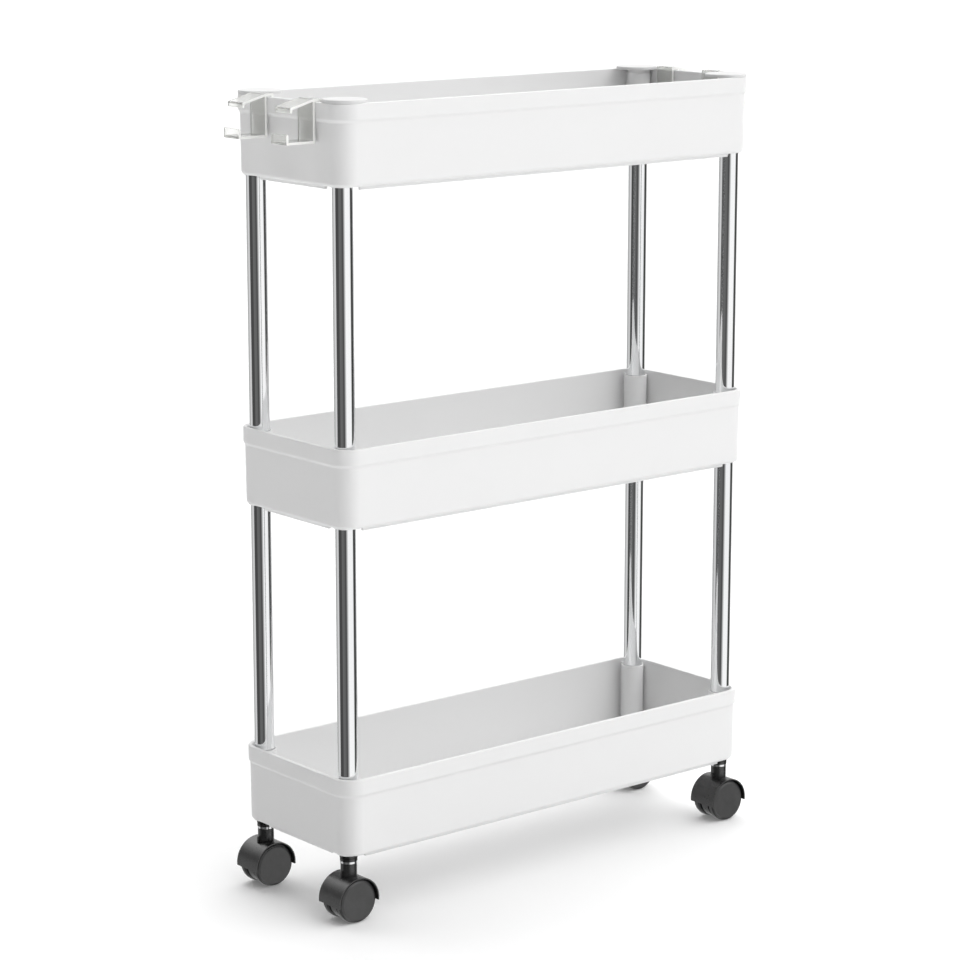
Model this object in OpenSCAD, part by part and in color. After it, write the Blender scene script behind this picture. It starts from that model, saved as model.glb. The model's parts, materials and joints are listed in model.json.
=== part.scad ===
// Slim three-tier rolling cart.
// Three moulded trays on four columns of chromed tube, four twin-wheel casters
// and four lift-off side hooks.
// X runs along the trays, Y across them, Z up. The origin is on the floor,
// under the middle of the cart.

/* [Trays] */
// Length of a tray over its rim
tray_l = 400; // [340:5:460]
// Width of a tray over its rim
tray_w = 134; // [120:1:170]
// Height of a tray from its base ribs to its rim
tray_h = 61; // [54:1:80]
// Height from one tray to the next
tray_pitch = 244.7; // [150:0.1:320]
// Radius of a tray's corners
corner_r = 16; // [15:0.5:20]
// Thickness of a tray's floor and lower walls
wall = 2.2; // [1.8:0.1:3]
// Height of the proud band around the rim
band_h = 12.5; // [8:0.5:16]
// How far the band stands out from the wall below it
band_step = 1.3; // [0.6:0.1:2]
// Lean of the walls over their height
draft = 0.4; // [0:0.1:0.8]
// Depth of the ribs under the floor
rib_h = 2.4; // [1.6:0.1:5]

/* [Columns and tubes] */
// Diameter of the tubes
tube_d = 15.1; // [13:0.1:17]
// Wall of the tubes
tube_wall = 0.9; // [0.6:0.1:1.5]
// Distance from a tray's end to the tube's axis
tube_in_x = 12.3; // [12:0.1:16]
// Distance from a tray's side to the tube's axis
tube_in_y = 14.8; // [13:0.1:18]
// Wall of the column around a tube
column_wall = 1.5; // [1.2:0.1:2]
// How far a column stops below the rim
column_drop = 3.2; // [2:0.1:8]
// Radial clearance of a tube in its socket
socket_gap = 0.05; // [0.02:0.01:0.1]

/* [Caps] */
// Thickness of a corner cap
cap_t = 2.4; // [1.6:0.1:4]
// Length of a cap's spigot inside its column
spigot_l = 16; // [8:1:22]

/* [Hooks] */
// Width of a hook
hook_w = 18; // [12:1:24]
// Thickness of a hook's strip
hook_t = 1.8; // [1.4:0.1:2.4]
// Clearance between a hook and the tray's rim
hook_gap = 0.5; // [0.3:0.1:1]
// Depth of a hook's back plate below the rim
hook_drop = 27.9; // [20:0.1:36]
// Depth of a hook's inner leg below the rim
hook_leg = 14; // [8:1:20]
// Reach of the lower arm from the tray
hook_reach = 25.2; // [18:0.1:34]
// Reach of the upper arm from the tray
hook_reach_up = 21.6; // [14:0.1:30]
// Places of the two hooks on the left end, front and back
hook_left_y = [-29, 28.5]; // [-29.5:0.5:29.5]
// Places of the two hooks on the right end, front and back
hook_right_y = [-22.5, 29.5]; // [-29.5:0.5:29.5]

/* [Casters] */
// Diameter of a caster wheel
wheel_d = 32.8; // [28:0.2:33]
// Width over a caster's two wheels
wheels_w = 24.3; // [24:0.1:30]
// Width of one wheel
wheel_w = 6.5; // [5.5:0.1:6.8]
// Outer diameter of the hood
hood_d = 36.4; // [36:0.2:42]
// Width of the hood
hood_w = 25.6; // [25:0.2:31]
// Diameter of the hood's neck
neck_d = 12.2; // [11:0.1:13]
// Height of a caster from the floor to the tray
caster_h = 48.8; // [46:0.2:56]

/* [Hidden] */
$fn = 64;

cut = 1;                                // overshoot of a cut past a face
half_l = tray_l / 2;
half_w = tray_w / 2;
tray_z = [for (i = [0:2]) caster_h + i * tray_pitch];

// Walls, as depths in from the band's face
body_d = band_step;                     // face of the wall below the band
inner_d = band_step + wall - 0.2;       // inside face of the wall
base_z = rib_h;                         // underside of the floor
floor_z = base_z + wall;
base_r = 3;                             // rounding of the tray's lower edge
cove_r = 3;                             // rounding inside, floor to wall
rim_r = 0.8;                            // rounding of the rim
blend_r = 2.8;                          // arcs between the band and the wall
band_z = tray_h - band_h;
skirt_d = 6.5;                          // depth in to the base ribs' outer face
skirt_t = 2;

// Columns
col_x = half_l - tube_in_x;
col_y = half_w - tube_in_y;
tube_r = tube_d / 2;
socket_r = tube_r + socket_gap;
column_r = tube_r + column_wall + 0.05;
column_z = tray_h - column_drop;
column_foot_z = rib_h - 0.2;            // lower end of a column
column_web = 6;                         // width of the webs from a column to the walls
web_z = 28;                             // floor between a column's two sockets
web_t = 3;
mouth_r = socket_r + 0.75;              // wider mouth of a socket
mouth_h = 1.5;

// Casters
wheel_r = wheel_d / 2;
hood_r = hood_d / 2;
shell_t = 0.9;
neck_r = neck_d / 2;
body_t = 7;                             // central web between the wheels
boss_r = wheels_w / 2 - wheel_w - 0.45; // boss around the pin, inside the hood
pin_r = 3;
stem_r = 4;
axle_r = 1.5;
run_gap = 0.05;                         // running clearance of pins in bores
flange_r = 6.3;
flange_z = caster_h - 4.7;              // bright flange of the stem
flange_t = 1.6;
collar_r = 6.75;

tray_color = [0.95, 0.95, 0.95];
steel_color = [0.78, 0.79, 0.80];
hook_color = [0.85, 0.87, 0.83, 0.6];
black_color = [0.13, 0.13, 0.14];

// ---- placing ---------------------------------------------------------------

// A column's axis: sx is -1 on the left and 1 on the right, sy is -1 in front
module at_column(sx, sy)
    translate([sx * col_x, sy * col_y, 0])
        children();

// ---- trays -----------------------------------------------------------------

// Section of the wall: x is the depth in from the band's face, y the height.
// The band blends into the wall below it through two equal arcs.
module wall_section() {
    low_d = body_d + draft;
    cove_d = inner_d + draft;
    blend_h = sqrt(blend_r * blend_r - pow(blend_r - body_d / 2, 2));
    difference() {
        union() {
            polygon([
                [0, band_z], [body_d, band_z], [low_d, base_z + base_r], [low_d, base_z],
                [corner_r - 3, base_z], [corner_r - 3, floor_z], [cove_d, floor_z],
                [inner_d, tray_h - rim_r], [inner_d, tray_h], [0, tray_h]
            ]);
            difference() {
                translate([cove_d - 0.2, floor_z - 0.2])
                    square(cove_r + 0.2);
                translate([cove_d + cove_r, floor_z + cove_r])
                    circle(cove_r);
            }
            difference() {
                translate([body_d / 2, band_z - blend_h])
                    square([body_d / 2 + 0.3, blend_h]);
                translate([body_d - blend_r, band_z - blend_h])
                    circle(blend_r);
            }
        }
        difference() {
            translate([-cut, band_z - cut])
                square([body_d / 2 + cut, blend_h + cut]);
            translate([blend_r, band_z + blend_h])
                circle(blend_r);
        }
        edge_cut(low_d, base_z, base_r, 1, 1);
        edge_cut(0, tray_h, rim_r, 1, -1);
        edge_cut(inner_d, tray_h, rim_r, -1, -1);
    }
}

// Removes the corner of a section at (x, y), leaving a radius r. The signs
// point from the corner into the material.
module edge_cut(x, y, r, sx, sy) {
    translate([x, y])
        difference() {
            translate([sx > 0 ? -cut : -r, sy > 0 ? -cut : -r])
                square(r + cut);
            translate([sx * r, sy * r])
                circle(r);
        }
}

// The wall's section carried around the tray: four corners and four straights
module wall_ring() {
    for (sx = [-1, 1], sy = [-1, 1])
        translate([sx * (half_l - corner_r), sy * (half_w - corner_r), 0])
            rotate([0, 0, sx > 0 ? (sy > 0 ? 0 : -90) : (sy > 0 ? 90 : 180)])
                rotate_extrude(angle = 90)
                    translate([corner_r, 0])
                        mirror([1, 0])
                            wall_section();
    for (s = [-1, 1]) {
        translate([0, s * half_w, 0])
            wall_run(tray_l - 2 * corner_r, s > 0 ? 180 : 0);
        translate([s * half_l, 0, 0])
            wall_run(tray_w - 2 * corner_r, s > 0 ? 90 : -90);
    }
}

// A straight wall of length l, with its face towards -Y before it is turned
module wall_run(l, turn)
    rotate([0, 0, turn])
        translate([-l / 2, 0, 0])
            rotate([90, 0, 90])
                linear_extrude(l)
                    wall_section();

// Ribs under the floor: a skirt along each side, open at the corners, and
// cross ribs between
module base_ribs() {
    skirt_x = half_l - skirt_d;
    skirt_y = half_w - skirt_d;
    long_l = 2 * (half_l - 21.5);
    short_l = 2 * (half_w - 27.3);
    for (s = [-1, 1]) {
        translate([-long_l / 2, s > 0 ? skirt_y - skirt_t : -skirt_y, 0])
            cube([long_l, skirt_t, base_z + 1]);
        translate([s > 0 ? skirt_x - skirt_t : -skirt_x, -short_l / 2, 0])
            cube([skirt_t, short_l, base_z + 1]);
    }
    for (i = [-2:2])
        translate([i * long_l / 6 - 0.8, -skirt_y + 1, 0.8])
            cube([1.6, 2 * skirt_y - 2, base_z]);
    translate([-long_l / 2, -0.8, 0.8])
        cube([long_l, 1.6, base_z]);
}

// A column in a corner, joined to both walls
module column(sx, sy) {
    web_h = column_z - floor_z + 1;
    at_column(sx, sy) {
        translate([0, 0, column_foot_z])
            cylinder(r = column_r, h = column_z - column_foot_z);
        translate([sx > 0 ? 0 : -tube_in_x, -column_web / 2, floor_z - 1])
            cube([tube_in_x, column_web, web_h]);
        translate([-column_web / 2, sy > 0 ? 0 : -tube_in_y, floor_z - 1])
            cube([column_web, tube_in_y, web_h]);
    }
}

// Solid block up to the middle of the lower walls. What stands in a tray is cut
// to it, so that nothing shows outside.
module inside_walls() {
    in = inner_d - 0.6;
    for (sx = [-1, 1], sy = [-1, 1])
        translate([sx * (half_l - corner_r), sy * (half_w - corner_r), 0])
            cylinder(r = corner_r - in, h = tray_h);
    translate([-half_l + in, -half_w + corner_r, 0])
        cube([tray_l - 2 * in, tray_w - 2 * corner_r, tray_h]);
    translate([-half_l + corner_r, -half_w + in, 0])
        cube([tray_l - 2 * corner_r, tray_w - 2 * in, tray_h]);
}

// The two sockets of a column, with wider mouths
module sockets(sx, sy) {
    at_column(sx, sy) {
        translate([0, 0, web_z + web_t])
            cylinder(r = socket_r, h = tray_h);
        translate([0, 0, column_z - mouth_h])
            cylinder(r = mouth_r, h = mouth_h + cut);
        translate([0, 0, -cut])
            cylinder(r = socket_r, h = web_z + cut);
        translate([0, 0, -cut])
            cylinder(r = mouth_r, h = column_foot_z + 0.8 + cut);
    }
}

module tray(level)
    color(tray_color)
        translate([0, 0, tray_z[level]])
            difference() {
                union() {
                    wall_ring();
                    translate([-half_l + 8, -half_w + corner_r - 4, base_z])
                        cube([tray_l - 16, tray_w - 2 * corner_r + 8, wall]);
                    translate([-half_l + corner_r - 4, -half_w + 8, base_z])
                        cube([tray_l - 2 * corner_r + 8, tray_w - 16, wall]);
                    base_ribs();
                    intersection() {
                        for (sx = [-1, 1], sy = [-1, 1])
                            column(sx, sy);
                        inside_walls();
                    }
                }
                for (sx = [-1, 1], sy = [-1, 1])
                    sockets(sx, sy);
            }

// ---- tubes -----------------------------------------------------------------

// A tube from the tray at a level up to the next one
module tube(level, sx, sy) {
    foot_z = tray_z[level] + web_z + web_t;
    head_z = tray_z[level + 1] + web_z;
    color(steel_color)
        at_column(sx, sy)
            translate([0, 0, foot_z])
                difference() {
                    cylinder(r = tube_r, h = head_z - foot_z);
                    translate([0, 0, -cut])
                        cylinder(r = tube_r - tube_wall, h = head_z - foot_z + 2 * cut);
                }
}

// ---- caps ------------------------------------------------------------------

// A disc over a corner of the top tray, with a hollow spigot in the column
module cap(sx, sy) {
    rim_z = tray_z[2] + tray_h;
    color(tray_color) {
        translate([sx * (half_l - corner_r), sy * (half_w - corner_r), rim_z])
            rotate_extrude()
                intersection() {
                    square([corner_r, cap_t]);
                    union() {
                        square([corner_r - 1, cap_t]);
                        square([corner_r, cap_t - 1]);
                        translate([corner_r - 1, cap_t - 1])
                            circle(1);
                    }
                }
        at_column(sx, sy) {
            translate([0, 0, rim_z - column_drop])
                cylinder(r = column_r - 0.3, h = column_drop + 1);
            translate([0, 0, rim_z - column_drop - spigot_l])
                difference() {
                    cylinder(r = tube_r, h = spigot_l + 1);
                    translate([0, 0, -cut])
                        cylinder(r = tube_r - 1.6, h = spigot_l + cut);
                }
        }
    }
}

// ---- hooks -----------------------------------------------------------------

// A straight piece of strip between two points, with round ends
module strip(a, b) {
    d = b - a;
    translate(a)
        rotate(atan2(d.y, d.x))
            translate([0, -hook_t / 2])
                square([norm(d), hook_t]);
    for (p = [a, b])
        translate(p)
            circle(hook_t / 2);
}

// Hook on a tray's end. In its section x runs out from the tray's end and
// y up from the rim.
module hook(s, y_mid) {
    leg_x = -inner_d - hook_gap - hook_t / 2;
    plate_x = hook_gap + hook_t / 2 - 0.1;
    top_y = hook_gap + hook_t / 2;
    foot_y = -hook_drop;
    lip_x = hook_reach - hook_t / 2;
    lip_x_up = hook_reach_up - hook_t / 2;
    arm_y = top_y - (lip_x_up - plate_x) * tan(15);
    points = [
        [leg_x, -hook_leg], [leg_x, top_y], [plate_x, top_y],
        [plate_x, foot_y], [lip_x, foot_y], [lip_x, foot_y + 5.6]
    ];
    color(hook_color)
        translate([s * half_l, y_mid, tray_z[2] + tray_h])
            rotate([90, 0, 0])
                translate([0, 0, -hook_w / 2])
                    linear_extrude(hook_w)
                        mirror([s > 0 ? 0 : 1, 0]) {
                            for (i = [0:len(points) - 2])
                                strip(points[i], points[i + 1]);
                            strip([plate_x, top_y], [lip_x_up, arm_y]);
                            strip([lip_x_up, arm_y], [lip_x_up, arm_y - 2.2]);
                        }
}

// ---- casters ---------------------------------------------------------------

// Socket insert: two rings below the tray, a slotted barrel inside the column
module bush(sx, sy) {
    ring_z = flange_z + flange_t;
    ring_t = 2.2;
    groove_t = 0.6;
    barrel_z = caster_h + column_foot_z;
    barrel_h = 24;
    color(black_color)
        at_column(sx, sy)
            difference() {
                union() {
                    translate([0, 0, ring_z])
                        cylinder(r = collar_r - 0.8, h = barrel_z - ring_z);
                    translate([0, 0, ring_z])
                        cylinder(r = collar_r - 0.25, h = ring_t);
                    translate([0, 0, ring_z + ring_t + groove_t])
                        cylinder(r = collar_r, h = barrel_z - ring_z - ring_t - groove_t);
                    translate([0, 0, barrel_z])
                        cylinder(r = tube_r, h = barrel_h);
                }
                translate([0, 0, ring_z - cut])
                    cylinder(r = stem_r + run_gap, h = barrel_h + 10);
                for (a = [45, 135])
                    rotate([0, 0, a])
                        translate([-10, -0.8, barrel_z + 8])
                            cube([20, 1.6, barrel_h]);
            }
}

// Steel stem: pin in the hood below, flange, and shank in the bush above
module stem(sx, sy) {
    pin_z = 22;
    shank_h = 27;
    color(steel_color)
        at_column(sx, sy) {
            translate([0, 0, pin_z])
                cylinder(r = pin_r, h = flange_z - pin_z + 0.5);
            translate([0, 0, flange_z])
                cylinder(r = flange_r, h = flange_t);
            translate([0, 0, flange_z + flange_t - 0.5])
                cylinder(r = stem_r, h = shank_h);
            translate([0, 0, flange_z + flange_t - 0.5 + shank_h])
                cylinder(r1 = stem_r, r2 = stem_r - 1, h = 1);
        }
}

// A flat disc or drum about the caster's axle, from -w/2 to w/2 across it
module drum(r, w)
    translate([0, 0, wheel_r])
        rotate([90, 0, 0])
            translate([0, 0, -w / 2])
                cylinder(r = r, h = w, $fn = 96);

// Hood: half drum over both wheels, central web, neck and its rib
module hood(sx, sy) {
    edge_z = wheel_r - 2;
    neck_foot_z = wheel_r + hood_r - 1.6;
    neck_z = flange_z - 0.3;
    color(black_color)
        at_column(sx, sy)
            difference() {
                union() {
                    difference() {
                        drum(hood_r, hood_w);
                        drum(hood_r - shell_t, hood_w + 2 * cut);
                        translate([-hood_d, -hood_w, edge_z - hood_d])
                            cube([2 * hood_d, 2 * hood_w, hood_d]);
                    }
                    drum(wheel_r - 1.2, body_t);
                    intersection() {
                        drum(hood_r - shell_t / 2, body_t);
                        translate([-hood_d, -hood_w, edge_z])
                            cube([2 * hood_d, 2 * hood_w, hood_d]);
                    }
                    intersection() {
                        drum(hood_r - shell_t / 2, hood_w);
                        translate([0, 0, 20.5])
                            cylinder(r = boss_r, h = hood_d);
                    }
                    translate([0, 0, neck_foot_z])
                        cylinder(r = neck_r, h = neck_z - neck_foot_z);
                    gusset();
                }
                translate([0, 0, 21.5])
                    cylinder(r = pin_r + run_gap, h = hood_d);
                drum(axle_r, hood_w);
            }
}

// Slim rib between the hood's neck and its drum, on one side only
module gusset() {
    in_x = 1 - neck_r;
    rotate([90, 0, 0])
        translate([0, 0, -0.6])
            linear_extrude(1.2)
                polygon([[in_x, 31], [-8, 31], [-8, 37.4], [-7.2, 38.2], [in_x, 38.6]]);
}

module axle(sx, sy)
    color(steel_color)
        at_column(sx, sy)
            drum(axle_r, wheels_w - 4.2);

// Wheel: tread, hollow inner side with a hub, and a closed outer face. side is -1
// for the one in front of the web.
module wheel(sx, sy, side)
    color(black_color)
        at_column(sx, sy)
            translate([0, 0, wheel_r])
                rotate([side < 0 ? 90 : -90, 0, 0])
                    translate([0, 0, wheels_w / 2 - wheel_w])
                        rotate_extrude($fn = 96)
                            wheel_section();

// Half section of a wheel: x from the axle, y from the inner side outwards.
// The outer face is a disc that stands proud of the tread, with a bevelled rim.
module wheel_section() {
    hub_r = 4.2;
    tread_t = 2.6;
    face_t = 1.8;
    disc_r = wheel_r - 0.8;
    disc_h = 2.2;
    bevel = 1.6;
    bore_r = axle_r + run_gap;
    bore_l = wheel_w - face_t;
    difference() {
        polygon([
            [0, 0], [wheel_r, 0], [wheel_r, wheel_w - disc_h], [disc_r, wheel_w - disc_h],
            [disc_r, wheel_w - bevel / 2], [disc_r - bevel, wheel_w], [0, wheel_w]
        ]);
        translate([hub_r, -cut])
            square([wheel_r - tread_t - hub_r, wheel_w - face_t + cut]);
        translate([-cut, -cut])
            square([bore_r + cut, bore_l + cut]);
        edge_cut(wheel_r, 0, 1.2, -1, 1);
        edge_cut(wheel_r, wheel_w - disc_h, 0.7, -1, -1);
    }
}

// ---- nodes -----------------------------------------------------------------

tray(0);  // tray_bottom
tray(1);  // tray_middle
tray(2);  // tray_top
tube(0, -1, -1);  // tube_lower_front_left
tube(0, -1, 1);  // tube_lower_back_left
tube(0, 1, -1);  // tube_lower_front_right
tube(0, 1, 1);  // tube_lower_back_right
tube(1, -1, -1);  // tube_upper_front_left
tube(1, -1, 1);  // tube_upper_back_left
tube(1, 1, -1);  // tube_upper_front_right
tube(1, 1, 1);  // tube_upper_back_right
cap(-1, -1);  // cap_front_left
cap(-1, 1);  // cap_back_left
cap(1, -1);  // cap_front_right
cap(1, 1);  // cap_back_right
hook(-1, hook_left_y[0]);  // hook_left_front
hook(-1, hook_left_y[1]);  // hook_left_back
hook(1, hook_right_y[0]);  // hook_right_front
hook(1, hook_right_y[1]);  // hook_right_back
bush(-1, -1);  // bush_front_left
bush(-1, 1);  // bush_back_left
bush(1, -1);  // bush_front_right
bush(1, 1);  // bush_back_right
stem(-1, -1);  // stem_front_left
stem(-1, 1);  // stem_back_left
stem(1, -1);  // stem_front_right
stem(1, 1);  // stem_back_right
hood(-1, -1);  // hood_front_left
hood(-1, 1);  // hood_back_left
hood(1, -1);  // hood_front_right
hood(1, 1);  // hood_back_right
axle(-1, -1);  // axle_front_left
axle(-1, 1);  // axle_back_left
axle(1, -1);  // axle_front_right
axle(1, 1);  // axle_back_right
wheel(-1, -1, -1);  // wheel_front_left_a
wheel(-1, -1, 1);  // wheel_front_left_b
wheel(-1, 1, -1);  // wheel_back_left_a
wheel(-1, 1, 1);  // wheel_back_left_b
wheel(1, -1, -1);  // wheel_front_right_a
wheel(1, -1, 1);  // wheel_front_right_b
wheel(1, 1, -1);  // wheel_back_right_a
wheel(1, 1, 1);  // wheel_back_right_b
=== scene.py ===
"""Looks of the slim rolling cart: trays, hooks, materials and studio around the CAD frame.

Units are metres. +X runs along the trays, +Y across them to the back, +Z up.
"""
import json
import math

import bmesh
import bpy
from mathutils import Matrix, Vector


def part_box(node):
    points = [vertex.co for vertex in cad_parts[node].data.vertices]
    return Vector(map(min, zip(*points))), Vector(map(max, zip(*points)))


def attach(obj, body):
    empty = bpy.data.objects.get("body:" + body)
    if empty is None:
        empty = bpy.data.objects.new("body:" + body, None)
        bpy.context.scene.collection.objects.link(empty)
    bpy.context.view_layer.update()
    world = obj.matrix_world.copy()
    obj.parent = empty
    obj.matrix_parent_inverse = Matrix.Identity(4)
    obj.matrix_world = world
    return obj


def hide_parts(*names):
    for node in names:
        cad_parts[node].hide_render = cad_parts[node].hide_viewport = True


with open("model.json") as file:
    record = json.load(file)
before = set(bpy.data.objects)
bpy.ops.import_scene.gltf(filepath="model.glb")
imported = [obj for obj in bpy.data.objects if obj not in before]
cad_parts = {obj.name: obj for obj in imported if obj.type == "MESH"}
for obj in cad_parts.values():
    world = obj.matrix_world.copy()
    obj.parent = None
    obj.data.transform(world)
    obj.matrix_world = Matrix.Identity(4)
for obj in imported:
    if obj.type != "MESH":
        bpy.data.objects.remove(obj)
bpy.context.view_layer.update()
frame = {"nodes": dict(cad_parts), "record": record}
nodes = frame["nodes"]



# ---- node-based materials ------------------------------------------------------------

class Shader:
    """A Principled material with helpers that add and link its texture nodes."""

    def __init__(self, name):
        self.material = bpy.data.materials.new(name)
        self.material.use_nodes = True
        self.tree = self.material.node_tree
        self.bsdf = self.tree.nodes["Principled BSDF"]
        self.coords = self.tree.nodes.new("ShaderNodeTexCoord").outputs["Object"]

    def set(self, **values):
        """Sets constant inputs of the shader, by their name with _ for a space."""
        for key, value in values.items():
            self.bsdf.inputs[key.replace("_", " ")].default_value = value
        return self

    def noise(self, scale, detail=3.0, stretch=(1, 1, 1)):
        """Noise in object space, in features per metre, stretched along an axis."""
        mapping = self.tree.nodes.new("ShaderNodeMapping")
        mapping.inputs["Scale"].default_value = stretch
        self.tree.links.new(self.coords, mapping.inputs["Vector"])
        noise = self.tree.nodes.new("ShaderNodeTexNoise")
        noise.inputs["Scale"].default_value = scale
        noise.inputs["Detail"].default_value = detail
        self.tree.links.new(mapping.outputs["Vector"], noise.inputs["Vector"])
        return noise.outputs["Fac"]

    def spread(self, value, low, high):
        """Maps a 0 to 1 value to low to high."""
        node = self.tree.nodes.new("ShaderNodeMapRange")
        node.inputs["From Min"].default_value = 0.3
        node.inputs["From Max"].default_value = 0.7
        node.inputs["To Min"].default_value = low
        node.inputs["To Max"].default_value = high
        self.tree.links.new(value, node.inputs["Value"])
        return node.outputs["Result"]

    def tint(self, value, dark, light):
        """Blends two colours by a 0 to 1 value, into the base colour."""
        ramp = self.tree.nodes.new("ShaderNodeValToRGB")
        ramp.color_ramp.elements[0].position = 0.3
        ramp.color_ramp.elements[1].position = 0.7
        ramp.color_ramp.elements[0].color = (*dark, 1)
        ramp.color_ramp.elements[1].color = (*light, 1)
        self.tree.links.new(value, ramp.inputs["Fac"])
        self.tree.links.new(ramp.outputs["Color"], self.bsdf.inputs["Base Color"])

    def roughness(self, value, low, high):
        """Varies the roughness from low to high by a 0 to 1 value."""
        self.tree.links.new(self.spread(value, low, high), self.bsdf.inputs["Roughness"])

    def bump(self, value, strength, distance):
        """Raises the surface by value; distance is the full height, in metres."""
        node = self.tree.nodes.new("ShaderNodeBump")
        node.inputs["Strength"].default_value = strength
        node.inputs["Distance"].default_value = distance
        self.tree.links.new(value, node.inputs["Height"])
        previous = self.bsdf.inputs["Normal"].links
        if previous:
            self.tree.links.new(previous[0].from_socket, node.inputs["Normal"])
        self.tree.links.new(node.outputs["Normal"], self.bsdf.inputs["Normal"])


def white_plastic(name, tone):
    """Satin white moulded polypropylene with a very fine mould texture."""
    s = Shader(name)
    s.tint(s.noise(9, 4), [tone * 0.985] * 3, [tone] * 3)
    s.roughness(s.noise(60, 5), 0.36, 0.46)
    s.bump(s.noise(1400, 2), 0.25, 0.00004)
    s.bump(s.noise(14, 2), 0.2, 0.0003)
    return s.set(Specular_IOR_Level=0.45, IOR=1.49).material


def chrome(name):
    """Bright chromed tube, with faint lengthwise drawing lines."""
    s = Shader(name)
    s.tint(s.noise(40, 2, (1, 1, 0.1)), [0.82, 0.83, 0.84], [0.90, 0.905, 0.91])
    s.roughness(s.noise(900, 3, (1, 1, 0.02)), 0.05, 0.10)
    s.bump(s.noise(2500, 2, (1, 1, 0.01)), 0.12, 0.00001)
    return s.set(Metallic=1.0).material


def steel(name):
    """Zinc-plated steel pins and flanges."""
    s = Shader(name)
    s.tint(s.noise(100, 2), [0.78, 0.79, 0.80], [0.86, 0.86, 0.87])
    s.roughness(s.noise(300, 2, (1, 1, 6)), 0.14, 0.22)
    s.bump(s.noise(1200, 2, (1, 1, 8)), 0.1, 0.00001)
    return s.set(Metallic=1.0).material


def clear_plastic(name, clarity, rough):
    """Clear moulded plastic with a slight haze, faintly yellow-green through its thickness."""
    s = Shader(name)
    s.tint(s.noise(60, 3), [0.94, 0.945, 0.92], [0.97, 0.975, 0.96])
    s.roughness(s.noise(90, 3), rough, rough + 0.08)
    s.bump(s.noise(150, 2), 0.1, 0.00005)
    return s.set(Transmission_Weight=clarity, IOR=1.42).material


def black_plastic(name, dark, light, rough, grain):
    """Black nylon with the fine spark-eroded grain of its mould."""
    s = Shader(name)
    s.tint(s.noise(150, 4), dark, light)
    s.roughness(s.noise(700, 4), rough, rough + 0.10)
    s.bump(s.noise(1500, 3), grain, 0.00008)
    return s.set(Specular_IOR_Level=0.75, IOR=1.53).material


MATERIALS = {
    "tray_white": white_plastic("tray_white_look", 0.82),
    # The caps get a darker copy of the tray white. This is painted shade that keeps their
    # up-facing tops from rendering pure white.
    "cap_white": white_plastic("cap_white_painted_shade_look", 0.71),
    "tube_chrome": chrome("tube_chrome_look"),
    "hook_clear": clear_plastic("hook_clear_look", 0.86, 0.08),
    "bush_black": black_plastic("bush_black_look", (0.006,) * 3, (0.010,) * 3, 0.18, 0.15),
    "stem_steel": steel("stem_steel_look"),
    "hood_black": black_plastic("hood_black_look", (0.010,) * 3, (0.018,) * 3, 0.26, 0.12),
    "wheel_black": black_plastic("wheel_black_look", (0.014,) * 3, (0.026,) * 3, 0.28, 0.5),
}
# Painted highlight: the hooks' edges get a hazy copy of the clear plastic that looks white. It
# stands in for the light that leaves the strip there.
HOOK_EDGE_PAINTED_GLOW = clear_plastic("hook_edge_look", 0.1, 0.3)   # light leaves there, so it looks white


def dress_cad_nodes():
    """Gives each CAD node the material of its slot in the record."""
    for part in frame["record"]["subparts"]:
        mesh = nodes[part["node"]].data
        mesh.materials.clear()
        mesh.materials.append(MATERIALS[part["material_slot"]])


# ---- mesh helpers --------------------------------------------------------------------

def add_mesh(name, build, material):
    """A new object whose mesh the function build fills in."""
    mesh = bpy.data.meshes.new(name)
    bm = bmesh.new()
    build(bm)
    bmesh.ops.recalc_face_normals(bm, faces=bm.faces)
    bm.to_mesh(mesh)
    bm.free()
    mesh.materials.append(material)
    obj = bpy.data.objects.new(name, mesh)
    bpy.context.scene.collection.objects.link(obj)
    return obj


def arc(x, y, radius, start, end, steps=7):
    """Points on an arc from one angle to another, in degrees."""
    angles = [math.radians(start + (end - start) * i / steps) for i in range(steps + 1)]
    return [(x + radius * math.cos(a), y + radius * math.sin(a)) for a in angles]


def skin(bm, rings, closed_ends=True):
    """Joins rings of points, each a closed loop of the same length, into a tube with flat ends."""
    loops = [[bm.verts.new(point) for point in ring] for ring in rings]
    for low, high in zip(loops, loops[1:]):
        for i in range(len(low)):
            j = (i + 1) % len(low)
            bm.faces.new((low[i], low[j], high[j], high[i]))
    if closed_ends:
        bm.faces.new(loops[0])
        bm.faces.new(loops[-1])


def revolve(bm, profile, centre, segments=72):
    """A solid of revolution about the vertical through centre, from (radius, height) points."""
    turns = [math.tau * i / segments for i in range(segments)]
    skin(bm, [[(centre[0] + r * math.cos(a), centre[1] + r * math.sin(a), z) for a in turns]
              for r, z in profile])


def block(bm, low, high):
    """A box from its low corner to its high one."""
    corners = ((low[0], low[1]), (high[0], low[1]), (high[0], high[1]), (low[0], high[1]))
    skin(bm, [[(x, y, z) for x, y in corners] for z in (low[2], high[2])])


def combine(base, steps):
    """Applies boolean steps to base: pairs of an operation and an object, deleted afterwards."""
    for operation, other in steps:
        modifier = base.modifiers.new(operation, "BOOLEAN")
        modifier.operation = operation
        modifier.solver = "EXACT"
        modifier.use_self = True
        modifier.object = other
    bpy.context.view_layer.update()
    evaluated = base.evaluated_get(bpy.context.evaluated_depsgraph_get())
    result = bpy.data.meshes.new_from_object(evaluated)
    base.modifiers.clear()
    base.data = result
    for _, other in steps:
        bpy.data.objects.remove(other)


def smooth(obj, angle):
    """Smooth shading with sharp edges over the angle, in degrees, and flat faces kept flat."""
    obj.data.shade_smooth()
    obj.data.set_sharp_from_angle(angle=math.radians(angle))
    modifier = obj.modifiers.new("flat_faces", "WEIGHTED_NORMAL")
    modifier.keep_sharp = True
    modifier.weight = 100


# ---- trays ---------------------------------------------------------------------------

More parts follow.
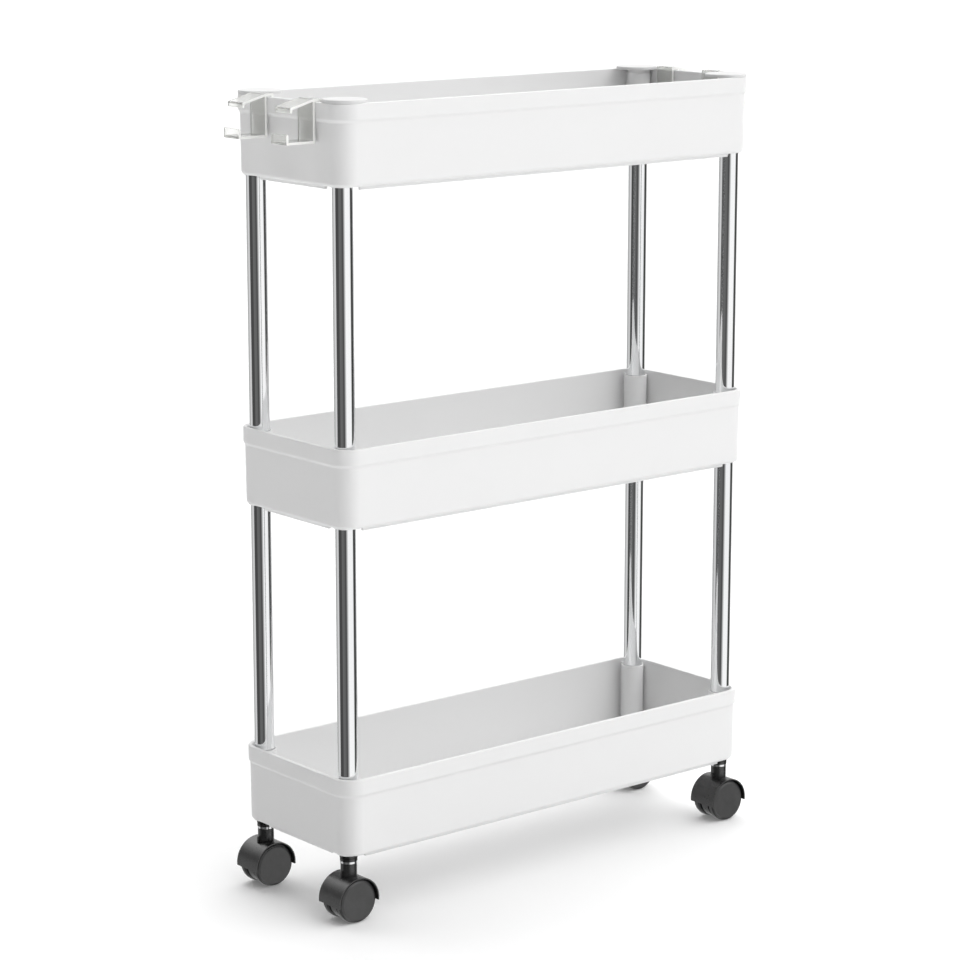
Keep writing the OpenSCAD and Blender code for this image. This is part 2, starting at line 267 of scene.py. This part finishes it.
TRAY_HEIGHT = 0.061
CORNER_RADIUS = 0.016
BAND_HEIGHT = 0.0125
BAND_STEP = 0.0013
DRAFT = 0.0004
WALL = 0.0022
INNER = BAND_STEP + WALL - 0.0002       # inside face of the wall, in from the band's face
BASE_Z = 0.0024                 # underside of the floor, above the ribs' lower edge
FLOOR_Z = BASE_Z + WALL
EDGE_RADIUS = 0.003             # rounding under the walls, and inside along the floor
RIM_RADIUS = 0.0008
BLEND_RADIUS = 0.0028           # arcs between the band and the wall below it
INSET_X, INSET_Y = 0.0123, 0.0148       # from the tray's end and side to a tube's axis
TUBE_RADIUS = 0.00755
COLUMN_RADIUS = 0.0091
COLUMN_TOP = TRAY_HEIGHT - 0.0032
COLUMN_FOOT = BASE_Z - 0.0002
COLUMN_WEB = 0.003              # half the width of the web from a column to a wall
SOCKET_FLOOR = (0.028, 0.031)   # solid part of a column between its two sockets
COLUMN_EDGE = 0.0003
SOCKET_GAP = 0.00005
SOCKET_LIP = 0.0008             # how much wider a socket's mouth is
SOCKET_STEPS = (0.0008, 0.0015)         # depth of the lower and of the upper mouth
SKIRT_DEPTH = 0.0065            # from the tray's side in to the skirt
SKIRT = 0.002
SKIRT_END_X, SKIRT_END_Y = 0.0215, 0.0273       # where the skirt stops short of the corners
RIB = 0.0016
RIB_LOW = 0.0008                # the ribs' lower edge above the skirt's
RIB_GAPS = 6                    # spaces between cross ribs along the skirt
OVERLAP = 0.001                 # how far parts of the tray run into each other
TRAY_SHARP = 32                 # edges over this angle stay sharp, in degrees


def wall_profile():
    """The wall's section, from under the floor round the rim to the floor inside.

    The first number of a point is its depth in from the band's face, the second its height.
    """
    low, cove = BAND_STEP + DRAFT, INNER + DRAFT
    band_z = TRAY_HEIGHT - BAND_HEIGHT
    turn = math.degrees(math.acos(1 - BAND_STEP / 2 / BLEND_RADIUS))
    rise = BLEND_RADIUS * math.sin(math.radians(turn))
    rim = TRAY_HEIGHT - RIM_RADIUS
    return (
        arc(low + EDGE_RADIUS, BASE_Z + EDGE_RADIUS, EDGE_RADIUS, 270, 180)
        + arc(BAND_STEP - BLEND_RADIUS, band_z - rise, BLEND_RADIUS, 0, turn)
        + arc(BLEND_RADIUS, band_z + rise, BLEND_RADIUS, 180 + turn, 180)[1:]
        + arc(RIM_RADIUS, rim, RIM_RADIUS, 180, 90, 5)
        + arc(INNER - RIM_RADIUS, rim, RIM_RADIUS, 90, 0, 5)
        + arc(cove + EDGE_RADIUS, FLOOR_Z + EDGE_RADIUS, EDGE_RADIUS, 180, 270)
    )


def round_ring(half_x, half_y, depth, z, steps=24):
    """A rounded rectangle, depth inside the tray's outline."""
    ring = []
    for quarter, (sx, sy) in enumerate(((1, 1), (-1, 1), (-1, -1), (1, -1))):
        x, y = sx * (half_x - CORNER_RADIUS), sy * (half_y - CORNER_RADIUS)
        start = 90 * quarter
        corner = arc(x, y, CORNER_RADIUS - depth, start, start + 90, steps)
        ring += [(*point, z) for point in corner]
    return ring


def tray_mesh(half_x, half_y):
    """One tray with its columns, sockets and ribs. Its skirt stands on z = 0."""
    column_x, column_y = half_x - INSET_X, half_y - INSET_Y
    places = [(sx * column_x, sy * column_y) for sx in (-1, 1) for sy in (-1, 1)]
    skirt_x, skirt_y = half_x - SKIRT_DEPTH, half_y - SKIRT_DEPTH
    long_x, short_y = half_x - SKIRT_END_X, half_y - SKIRT_END_Y

    def shell(bm):
        skin(bm, [round_ring(half_x, half_y, depth, z) for depth, z in wall_profile()])

    def columns(bm):
        wide, narrow = COLUMN_RADIUS, COLUMN_RADIUS - COLUMN_EDGE
        for place in places:
            revolve(bm, ((narrow, COLUMN_FOOT), (wide, COLUMN_FOOT + COLUMN_EDGE),
                         (wide, COLUMN_TOP - COLUMN_EDGE), (narrow, COLUMN_TOP)), place)

    def webs(bm):
        """Two from each column to the walls. Their tops differ, so that no faces coincide."""
        for x, y in places:
            wall_x, wall_y = math.copysign(half_x, x), math.copysign(half_y, y)
            block(bm, (min(x, wall_x), y - COLUMN_WEB, FLOOR_Z - OVERLAP),
                  (max(x, wall_x), y + COLUMN_WEB, COLUMN_TOP - 0.0001))
            block(bm, (x - COLUMN_WEB, min(y, wall_y), FLOOR_Z - OVERLAP),
                  (x + COLUMN_WEB, max(y, wall_y), COLUMN_TOP - 0.0002))

    def inside_walls(bm):
        """The room up to the middle of the walls, which the columns and webs stay in."""
        depth = INNER - 0.0006
        skin(bm, [round_ring(half_x, half_y, depth, z) for z in (0, TRAY_HEIGHT)])

    def skirts(bm):
        top = BASE_Z + OVERLAP
        for side in (-1, 1):
            near, far = sorted((side * skirt_y, side * (skirt_y - SKIRT)))
            block(bm, (-long_x, near, 0), (long_x, far, top))
            near, far = sorted((side * skirt_x, side * (skirt_x - SKIRT)))
            block(bm, (near, -short_y, 0), (far, short_y, top))

    def ribs(bm):
        half, end = RIB / 2, skirt_y - OVERLAP
        for i in range(1, RIB_GAPS):
            x = long_x * (2 * i / RIB_GAPS - 1)
            block(bm, (x - half, -end, RIB_LOW), (x + half, end, RIB_LOW + BASE_Z))
        block(bm, (-long_x, -half, RIB_LOW), (long_x, half, RIB_LOW + BASE_Z * 0.98))

    def sockets(bm):
        bore, mouth = TUBE_RADIUS + SOCKET_GAP, TUBE_RADIUS + SOCKET_LIP
        low, high = SOCKET_FLOOR
        lower, upper = COLUMN_FOOT + SOCKET_STEPS[0], COLUMN_TOP - SOCKET_STEPS[1]
        for place in places:
            revolve(bm, ((mouth, -OVERLAP), (mouth, lower), (bore, lower), (bore, low)), place)
            revolve(bm, ((bore, high), (bore, upper), (mouth, upper), (mouth, TRAY_HEIGHT)), place)

    white = MATERIALS["tray_white"]
    steps = (("UNION", webs), ("INTERSECT", inside_walls), ("UNION", shell), ("UNION", skirts),
             ("UNION", ribs), ("DIFFERENCE", sockets))
    base = add_mesh("tray", columns, white)
    combine(base, [(operation, add_mesh("step", build, white)) for operation, build in steps])
    return base


def build_trays():
    """Three trays that share one mesh, each at the height of its CAD node."""
    low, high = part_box("tray_bottom")
    half_x, half_y = (high.x - low.x) / 2, (high.y - low.y) / 2
    first = tray_mesh(half_x, half_y)
    for level in ("bottom", "middle", "top"):
        node = "tray_" + level
        tray = bpy.data.objects.new("moulded_" + node, first.data)
        bpy.context.scene.collection.objects.link(tray)
        tray.location.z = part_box(node)[0].z
        smooth(tray, TRAY_SHARP)
        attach(tray, "frame")
        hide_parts(node)
    bpy.data.objects.remove(first)


# ---- hooks ---------------------------------------------------------------------------

HOOK_STRIP = 0.0018             # thickness of the strip
HOOK_WIDTH = 0.018
HOOK_GAP = 0.0005               # clearance over and inside the rim
HOOK_LEG = 0.014                # inner leg, below the rim
HOOK_DROP = 0.0279              # back plate, below the rim
HOOK_REACH = 0.0252             # lower arm, out from the tray
HOOK_REACH_UP = 0.0216          # upper arm, out from the tray
HOOK_LIP = 0.0056               # upturned lip of the lower arm
HOOK_LIP_UP = 0.0022            # downturned lip of the upper arm
HOOK_SLOPE = 15                 # fall of the upper arm, in degrees
HOOK_BEVEL = 0.0003
HOOK_BEVEL_FROM = 50            # edges over this angle are bevelled, in degrees
HOOK_SHARP = 40


def ribbon(points):
    """The outline of a strip along a bent line, with round ends and round outer corners."""
    half = HOOK_STRIP / 2
    line = [Vector(p) for p in points]
    angles = [math.degrees(math.atan2(b.y - a.y, b.x - a.x)) for a, b in zip(line, line[1:])]
    sides = ([], [])
    for i, point in enumerate(line[1:-1]):
        bend = (angles[i + 1] - angles[i] + 180) % 360 - 180
        for side, sign in zip(sides, (1, -1)):
            start = angles[i] + sign * 90
            if bend * sign < 0:
                side += arc(point.x, point.y, half, start, start + bend, 5)
            else:
                reach = half / math.cos(math.radians(bend / 2))
                side += arc(point.x, point.y, reach, start + bend / 2, start + bend / 2, 1)[:1]
    first, last = line[0], line[-1]
    return (arc(first.x, first.y, half, angles[0] + 270, angles[0] + 90, 8) + sides[0]
            + arc(last.x, last.y, half, angles[-1] + 90, angles[-1] - 90, 8) + sides[1][::-1])


def hook_lines():
    """The main strip and the upper arm: x runs out from the tray's end, y up from the rim."""
    half = HOOK_STRIP / 2
    leg_x, plate_x, top = -INNER - HOOK_GAP - half, HOOK_GAP + half - 0.0001, HOOK_GAP + half
    lip_x, up_x = HOOK_REACH - half, HOOK_REACH_UP - half
    up_y = top - (up_x - plate_x) * math.tan(math.radians(HOOK_SLOPE))
    main = ((leg_x, -HOOK_LEG), (leg_x, top), (plate_x, top), (plate_x, -HOOK_DROP),
            (lip_x, -HOOK_DROP), (lip_x, HOOK_LIP - HOOK_DROP))
    return main, ((plate_x, top), (up_x, up_y), (up_x, up_y - HOOK_LIP_UP))


def build_hooks():
    """Four hooks over the rim, each across the middle of its CAD node."""
    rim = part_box("tray_top")[1].z
    half_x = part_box("tray_bottom")[1].x
    clear = MATERIALS["hook_clear"]
    for end, side in (("left", -1), ("right", 1)):
        for place in ("front", "back"):
            node = "hook_%s_%s" % (end, place)
            low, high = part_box(node)
            middle = (low.y + high.y) / 2

            def strip(bm, line):
                skin(bm, [[(side * (half_x + x), middle + y, rim + z) for x, z in ribbon(line)]
                          for y in (-HOOK_WIDTH / 2, HOOK_WIDTH / 2)])

            main, arm = hook_lines()
            hook = add_mesh("clear_" + node, lambda bm: strip(bm, main), clear)
            combine(hook, [("UNION", add_mesh("arm", lambda bm: strip(bm, arm), clear))])
            # The strip's edges, and the bevels on them, carry the painted-highlight material.
            hook.data.materials.append(HOOK_EDGE_PAINTED_GLOW)
            for face in hook.data.polygons:
                face.material_index = int(abs(face.normal.y) > 0.9)
            edges = hook.modifiers.new("soft_edges", "BEVEL")
            edges.width = HOOK_BEVEL
            edges.segments = 2
            edges.material = 1
            edges.limit_method = "ANGLE"
            edges.angle_limit = math.radians(HOOK_BEVEL_FROM)
            smooth(hook, HOOK_SHARP)
            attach(hook, node)
            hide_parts(node)


# ---- floor, light and camera ---------------------------------------------------------

FLOOR_RADIUS = 40.0
FLOOR_GLOW = 0.12               # keeps the shadow on the floor pale
CAMERA_PLACE = (-1.4624, -1.7506, 0.7795)
CAMERA_AZIMUTH = -39.49         # how far round from the front it looks, in degrees
CAMERA_ELEVATION = 11.95
CAMERA_LENS = 113.8             # millimetres, on a 36 mm sensor
KEY_PLACE, KEY_TARGET = (1.2, -2.4, 2.2), (0, 0, 0.3)
KEY_SIZE, KEY_POWER = (2.0, 1.6), 4


def floor_material():
    """Matt pale floor."""
    s = Shader("studio_floor")
    s.tint(s.noise(3, 3), [0.84] * 3, [0.86] * 3)
    s.roughness(s.noise(20, 3), 0.6, 0.7)
    s.set(Emission_Color=(1, 1, 1, 1), Emission_Strength=FLOOR_GLOW)
    return s.set(Specular_IOR_Level=0.2).material


def build_floor():
    """A wide disc that the tubes don't reflect, so that they show the studio."""
    def disc(bm):
        bmesh.ops.create_circle(bm, cap_ends=True, radius=FLOOR_RADIUS, segments=96)

    floor = add_mesh("studio_floor", disc, floor_material())
    floor.visible_glossy = False


def build_light(name, place, target, size, power):
    """A rectangular lamp at a place, turned towards a target."""
    data = bpy.data.lights.new(name, "AREA")
    data.shape = "RECTANGLE"
    data.size, data.size_y = size
    data.energy = power
    lamp = bpy.data.objects.new(name, data)
    lamp.location = place
    lamp.rotation_euler = (Vector(target) - Vector(place)).to_track_quat("-Z", "Y").to_euler()
    bpy.context.scene.collection.objects.link(lamp)
    return lamp


# Brightness of the studio by azimuth in degrees, counter-clockwise from +X. Low down
# there is a dark flag on the left, a dimmer one in front of it with a dark slot, and one
# on the right. The sky above them comes in soft from the front, the right and the back.
FLAGS = (
    (-180.0, 0.070), (-176.0, 0.075), (-171.0, 0.150), (-150.0, 0.140), (-138.0, 0.110),
    (-131.0, 0.055), (-124.0, 0.130), (-112.0, 0.550), (-101.0, 1.050), (-45.0, 1.050),
    (-40.0, 0.200), (-32.0, 0.050), (-6.0, 0.060), (8.0, 0.500), (20.0, 0.950), (70.0, 0.750),
    (105.0, 0.420), (125.0, 0.720), (144.0, 0.700), (150.0, 0.070),
)
LOW_SKY = (
    (-180.0, 0.02), (-130.0, 0.08), (-90.0, 0.66), (20.0, 0.90), (100.0, 0.85), (150.0, 0.03),
)
HIGH_SKY = (
    (-180.0, 0.03), (-130.0, 0.15), (-90.0, 2.30), (-40.0, 2.20), (20.0, 2.10), (90.0, 2.50),
    (150.0, 0.16),
)


def azimuth_ramp(tree, azimuth, stops):
    """A grey that follows the azimuth, which runs from 0 to 1 for -180 to 180 degrees."""
    ramp = tree.nodes.new("ShaderNodeValToRGB")
    elements = ramp.color_ramp.elements
    while len(elements) < len(stops):
        elements.new(0.5)
    for element, (degrees, grey) in zip(elements, stops):
        element.position = (degrees + 180) / 360
        element.color = (grey, grey, grey, 1)
    tree.links.new(azimuth, ramp.inputs["Fac"])
    return ramp.outputs["Color"]


def math_node(tree, operation, *values):
    """The result of an operation on numbers and sockets."""
    node = tree.nodes.new("ShaderNodeMath")
    node.operation = operation
    for socket, value in zip(node.inputs, values):
        if isinstance(value, (int, float)):
            socket.default_value = value
        else:
            tree.links.new(value, socket)
    return node.outputs["Value"]


def height(tree, z, low, high):
    """0 below a direction whose z is low, 1 above one whose z is high."""
    node = tree.nodes.new("ShaderNodeMapRange")
    node.interpolation_type = "SMOOTHSTEP"
    node.inputs["From Min"].default_value = low
    node.inputs["From Max"].default_value = high
    tree.links.new(z, node.inputs["Value"])
    return node.outputs["Result"]


def blend_colours(tree, factor, low, high):
    """The colour low where the factor is 0, high where it is 1."""
    node = tree.nodes.new("ShaderNodeMix")
    node.data_type = "RGBA"
    tree.links.new(factor, node.inputs["Factor"])
    tree.links.new(low, node.inputs["A"])
    tree.links.new(high, node.inputs["B"])
    return node.outputs["Result"]


def build_world():
    """White to the eye; to the cart it has the flags low down and a soft sky above them."""
    world = bpy.data.worlds.new("studio")
    world.use_nodes = True
    tree = world.node_tree
    tree.nodes.clear()
    new, link = tree.nodes.new, tree.links.new
    split = new("ShaderNodeSeparateXYZ")
    link(new("ShaderNodeTexCoord").outputs["Generated"], split.inputs["Vector"])
    x, y, z = split.outputs
    turn = math_node(tree, "ARCTAN2", y, x)
    azimuth = math_node(tree, "MULTIPLY_ADD", turn, 1 / math.tau, 0.5)
    flags, low, high = (azimuth_ramp(tree, azimuth, stops) for stops in (FLAGS, LOW_SKY, HIGH_SKY))
    sky = blend_colours(tree, height(tree, z, 0.0, 0.2), flags, low)
    sky = blend_colours(tree, height(tree, z, 0.3, 0.65), sky, high)
    around, seen = new("ShaderNodeBackground"), new("ShaderNodeBackground")
    link(sky, around.inputs["Color"])
    seen.inputs["Color"].default_value = (1, 1, 1, 1)
    choose = new("ShaderNodeMixShader")
    link(new("ShaderNodeLightPath").outputs["Is Camera Ray"], choose.inputs["Fac"])
    link(around.outputs["Background"], choose.inputs[1])
    link(seen.outputs["Background"], choose.inputs[2])
    link(choose.outputs["Shader"], new("ShaderNodeOutputWorld").inputs["Surface"])
    bpy.context.scene.world = world


def build_camera():
    """A long lens, from the left of the front and a little above."""
    data = bpy.data.cameras.new("photo_camera")
    data.sensor_width = 36
    data.lens = CAMERA_LENS
    data.clip_start, data.clip_end = 0.1, 100
    camera = bpy.data.objects.new("photo_camera", data)
    camera.location = CAMERA_PLACE
    tilt, turn = math.radians(90 - CAMERA_ELEVATION), math.radians(CAMERA_AZIMUTH)
    camera.rotation_euler = (tilt, 0, turn)
    bpy.context.scene.collection.objects.link(camera)
    bpy.context.scene.camera = camera


dress_cad_nodes()
build_trays()
build_hooks()
build_floor()
build_world()
build_camera()
build_light("key_light", KEY_PLACE, KEY_TARGET, KEY_SIZE, KEY_POWER)
bpy.context.scene.view_settings.view_transform = "Standard"
